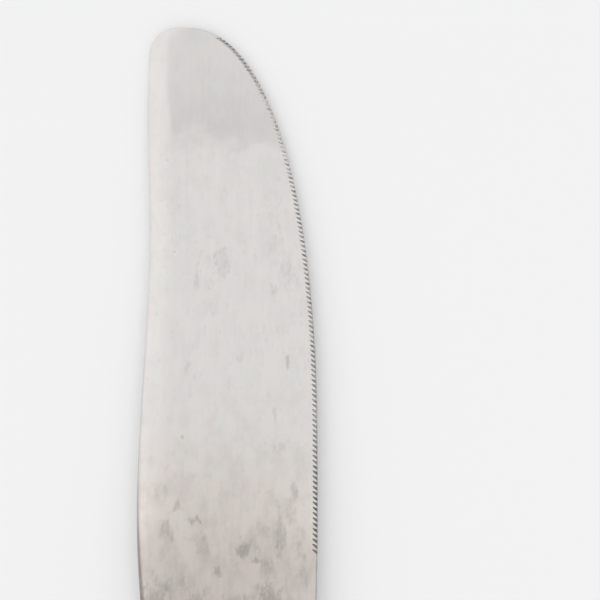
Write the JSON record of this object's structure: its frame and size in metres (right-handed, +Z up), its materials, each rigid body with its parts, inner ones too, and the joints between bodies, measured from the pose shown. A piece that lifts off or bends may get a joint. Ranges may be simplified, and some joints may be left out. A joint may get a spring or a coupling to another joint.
{
  "type": "table knife",
  "caption": "Table knife lying on its side: hump-backed steel blade with a round-nosed, finely serrated edge, oval bolster, ferrule and tapered hollow metal handle.",
  "frame": {"origin": "bottom centre of the knife's box, as it lies on its side", "axes": "+Y along the knife towards its tip; +X across it, from the spine towards the cutting edge; +Z up, square to the flat of the lower handle shell that the knife lies on. The handle thickens to its butt, so the blade dips 1.5 degrees, and its tip just touches the table"},
  "size_m": [0.0232, 0.23, 0.0131],
  "materials": {
    "blade_steel": "fine lengthwise polish, with faint water stains",
    "handle_metal": "worn bright polish",
    "solder": "dull",
    "cement": "rough, set cement"
  },
  "bodies": {
    "root": {"blade": "blade_steel", "ferrule": "handle_metal", "ferrule_solder": "solder", "handle_shell_upper": "handle_metal", "handle_shell_lower": "handle_metal", "seam_solder": "solder", "cement_core": "cement"}
  },
  "joints": []
}
